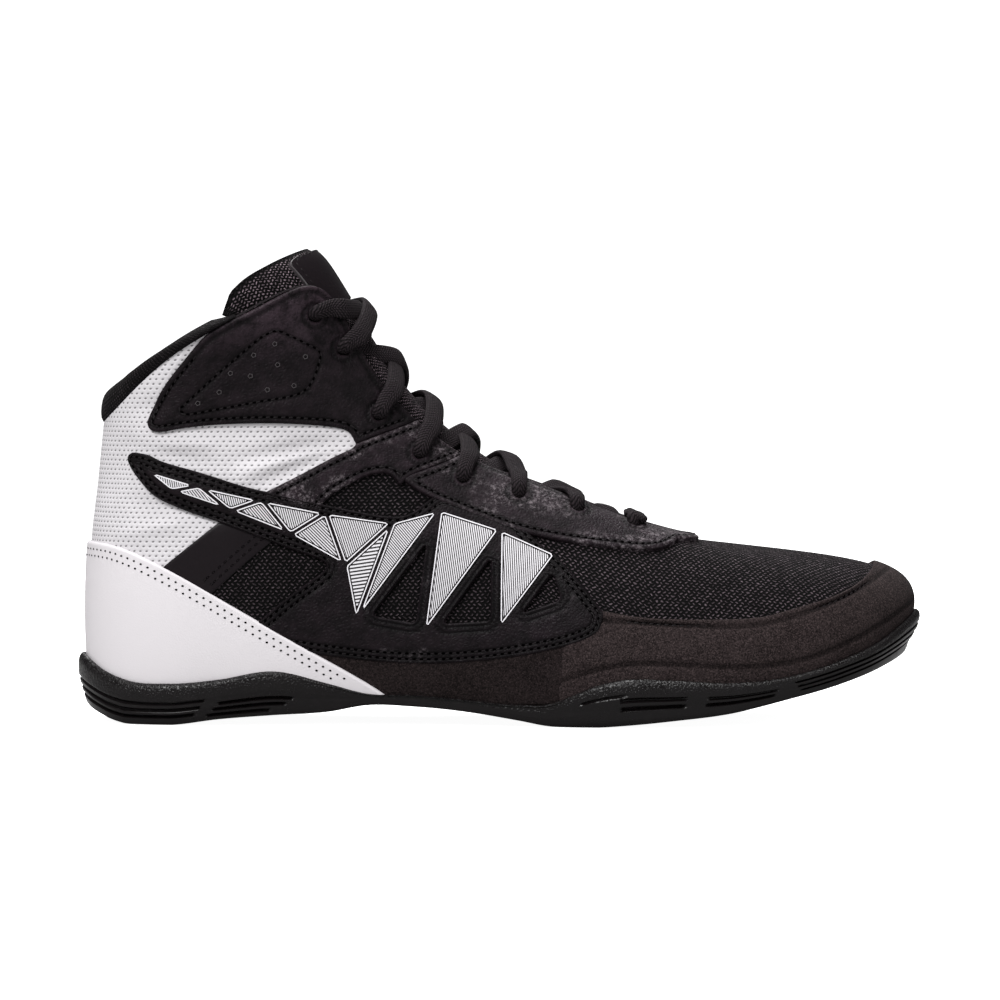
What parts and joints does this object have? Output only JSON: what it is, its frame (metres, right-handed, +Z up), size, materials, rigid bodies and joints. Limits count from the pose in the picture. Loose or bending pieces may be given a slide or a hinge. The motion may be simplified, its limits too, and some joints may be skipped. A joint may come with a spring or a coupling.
{
  "type": "wrestling shoe",
  "caption": "High-top wrestling shoe for the right foot: mesh upper with overlays, padded collar, laced throat, split-pod rubber sole.",
  "frame": {"origin": "on the floor under the middle of the shoe's length and width", "axes": "+X towards the toe, +Z up, -Y towards the outer side of the foot and +Y towards the inner side"},
  "size_m": [0.2871, 0.0978, 0.1602],
  "materials": {
    "rubber": "moulded black rubber, satin",
    "insole_cloth": "black cloth over foam",
    "black_mesh": "open black sports mesh over foam",
    "suede": "black suede with a short nap",
    "black_synthetic": "black nubuck-like synthetic, matt",
    "white_synthetic": "smooth white synthetic leather, satin",
    "lace": "flat woven black lace"
  },
  "bodies": {
    "root": {"outsole": "rubber", "insole": "insole_cloth", "upper": "black_mesh", "collar": "black_mesh", "tongue": "black_mesh", "tongue_label": "black_synthetic", "heel_counter": "white_synthetic", "toe_guard": "suede", "side_guard_outer": "suede", "side_guard_inner": "suede", "ankle_overlay_outer": "black_synthetic", "ankle_overlay_inner": "black_synthetic", "quarter_stay_outer": "black_synthetic", "quarter_stay_inner": "black_synthetic", "eyestay": "black_synthetic", "side_panel_outer": "black_synthetic", "side_panel_inner": "black_synthetic", "laces": "lace"}
  },
  "joints": []
}
